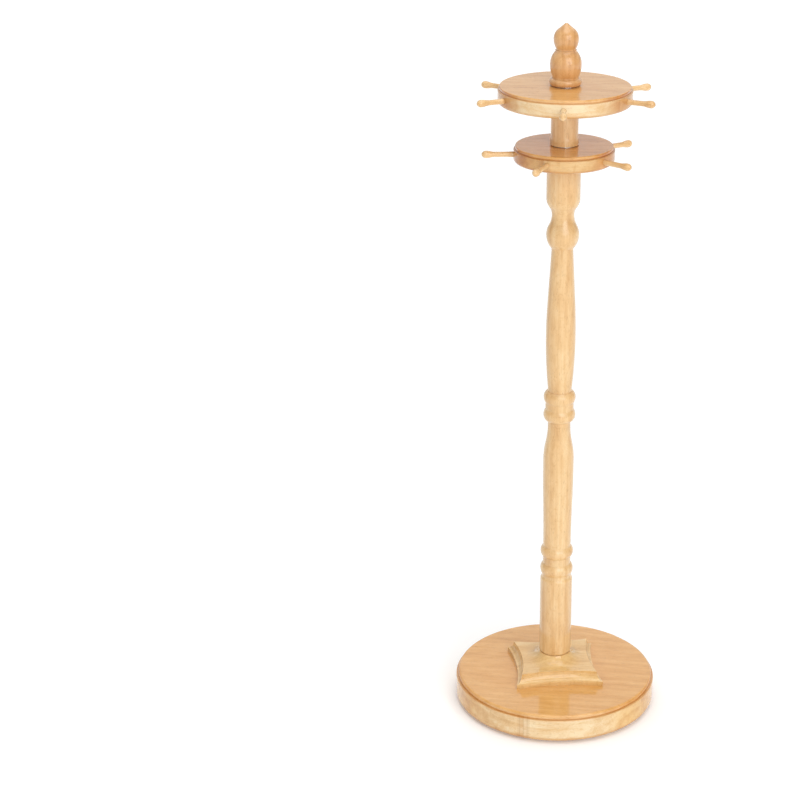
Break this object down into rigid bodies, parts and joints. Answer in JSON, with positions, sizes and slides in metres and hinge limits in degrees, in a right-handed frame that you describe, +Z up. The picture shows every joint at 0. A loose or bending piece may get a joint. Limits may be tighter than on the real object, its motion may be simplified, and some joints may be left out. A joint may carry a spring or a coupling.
{
  "type": "rotating hanging organizer",
  "caption": "Turned wooden desk stand on a round base, with two small round tiers of pegs that spin on a vertical rod, for hanging looped brushes and small tools.",
  "frame": {"origin": "centre of the resting plane, on the column's axis", "axes": "+Z up along the column; the tiers spin about Z; +X and +Y lie level"},
  "size_m": [0.136, 0.136, 0.469],
  "materials": {
    "beech_board": "clear satin lacquer over glued-up hardwood strips",
    "beech_turned": "clear satin lacquer over lathe-turned hardwood",
    "brass": "plain turned brass",
    "zinc_steel": "bright zinc plate",
    "felt": "pressed felt"
  },
  "bodies": {
    "stand": {"felt_pads": "felt", "base_disc": "beech_board", "plinth": "beech_turned", "column": "beech_turned", "base_screw": "zinc_steel", "base_washer": "zinc_steel", "column_insert": "brass", "spindle_rod": "zinc_steel", "lower_bush": "brass", "lower_washer": "zinc_steel", "neck_spacer": "beech_turned", "upper_bush": "brass", "upper_washer": "zinc_steel", "finial_insert": "brass", "finial": "beech_turned"},
    "lower_tier": {"lower_disc": "beech_board", "lower_peg_1": "beech_turned", "lower_peg_2": "beech_turned", "lower_peg_3": "beech_turned", "lower_peg_4": "beech_turned", "lower_peg_5": "beech_turned"},
    "upper_tier": {"upper_disc": "beech_board", "upper_peg_1": "beech_turned", "upper_peg_2": "beech_turned", "upper_peg_3": "beech_turned", "upper_peg_4": "beech_turned", "upper_peg_5": "beech_turned", "upper_peg_6": "beech_turned"}
  },
  "joints": [
    {"name": "lower_tier_spin", "type": "hinge", "parent": "stand", "child": "lower_tier", "pos_m": [0, 0, 0.38685], "axis": [0, 0, 1], "continuous": true},
    {"name": "upper_tier_spin", "type": "hinge", "parent": "stand", "child": "upper_tier", "pos_m": [0, 0, 0.42445], "axis": [0, 0, 1], "continuous": true}
  ]
}
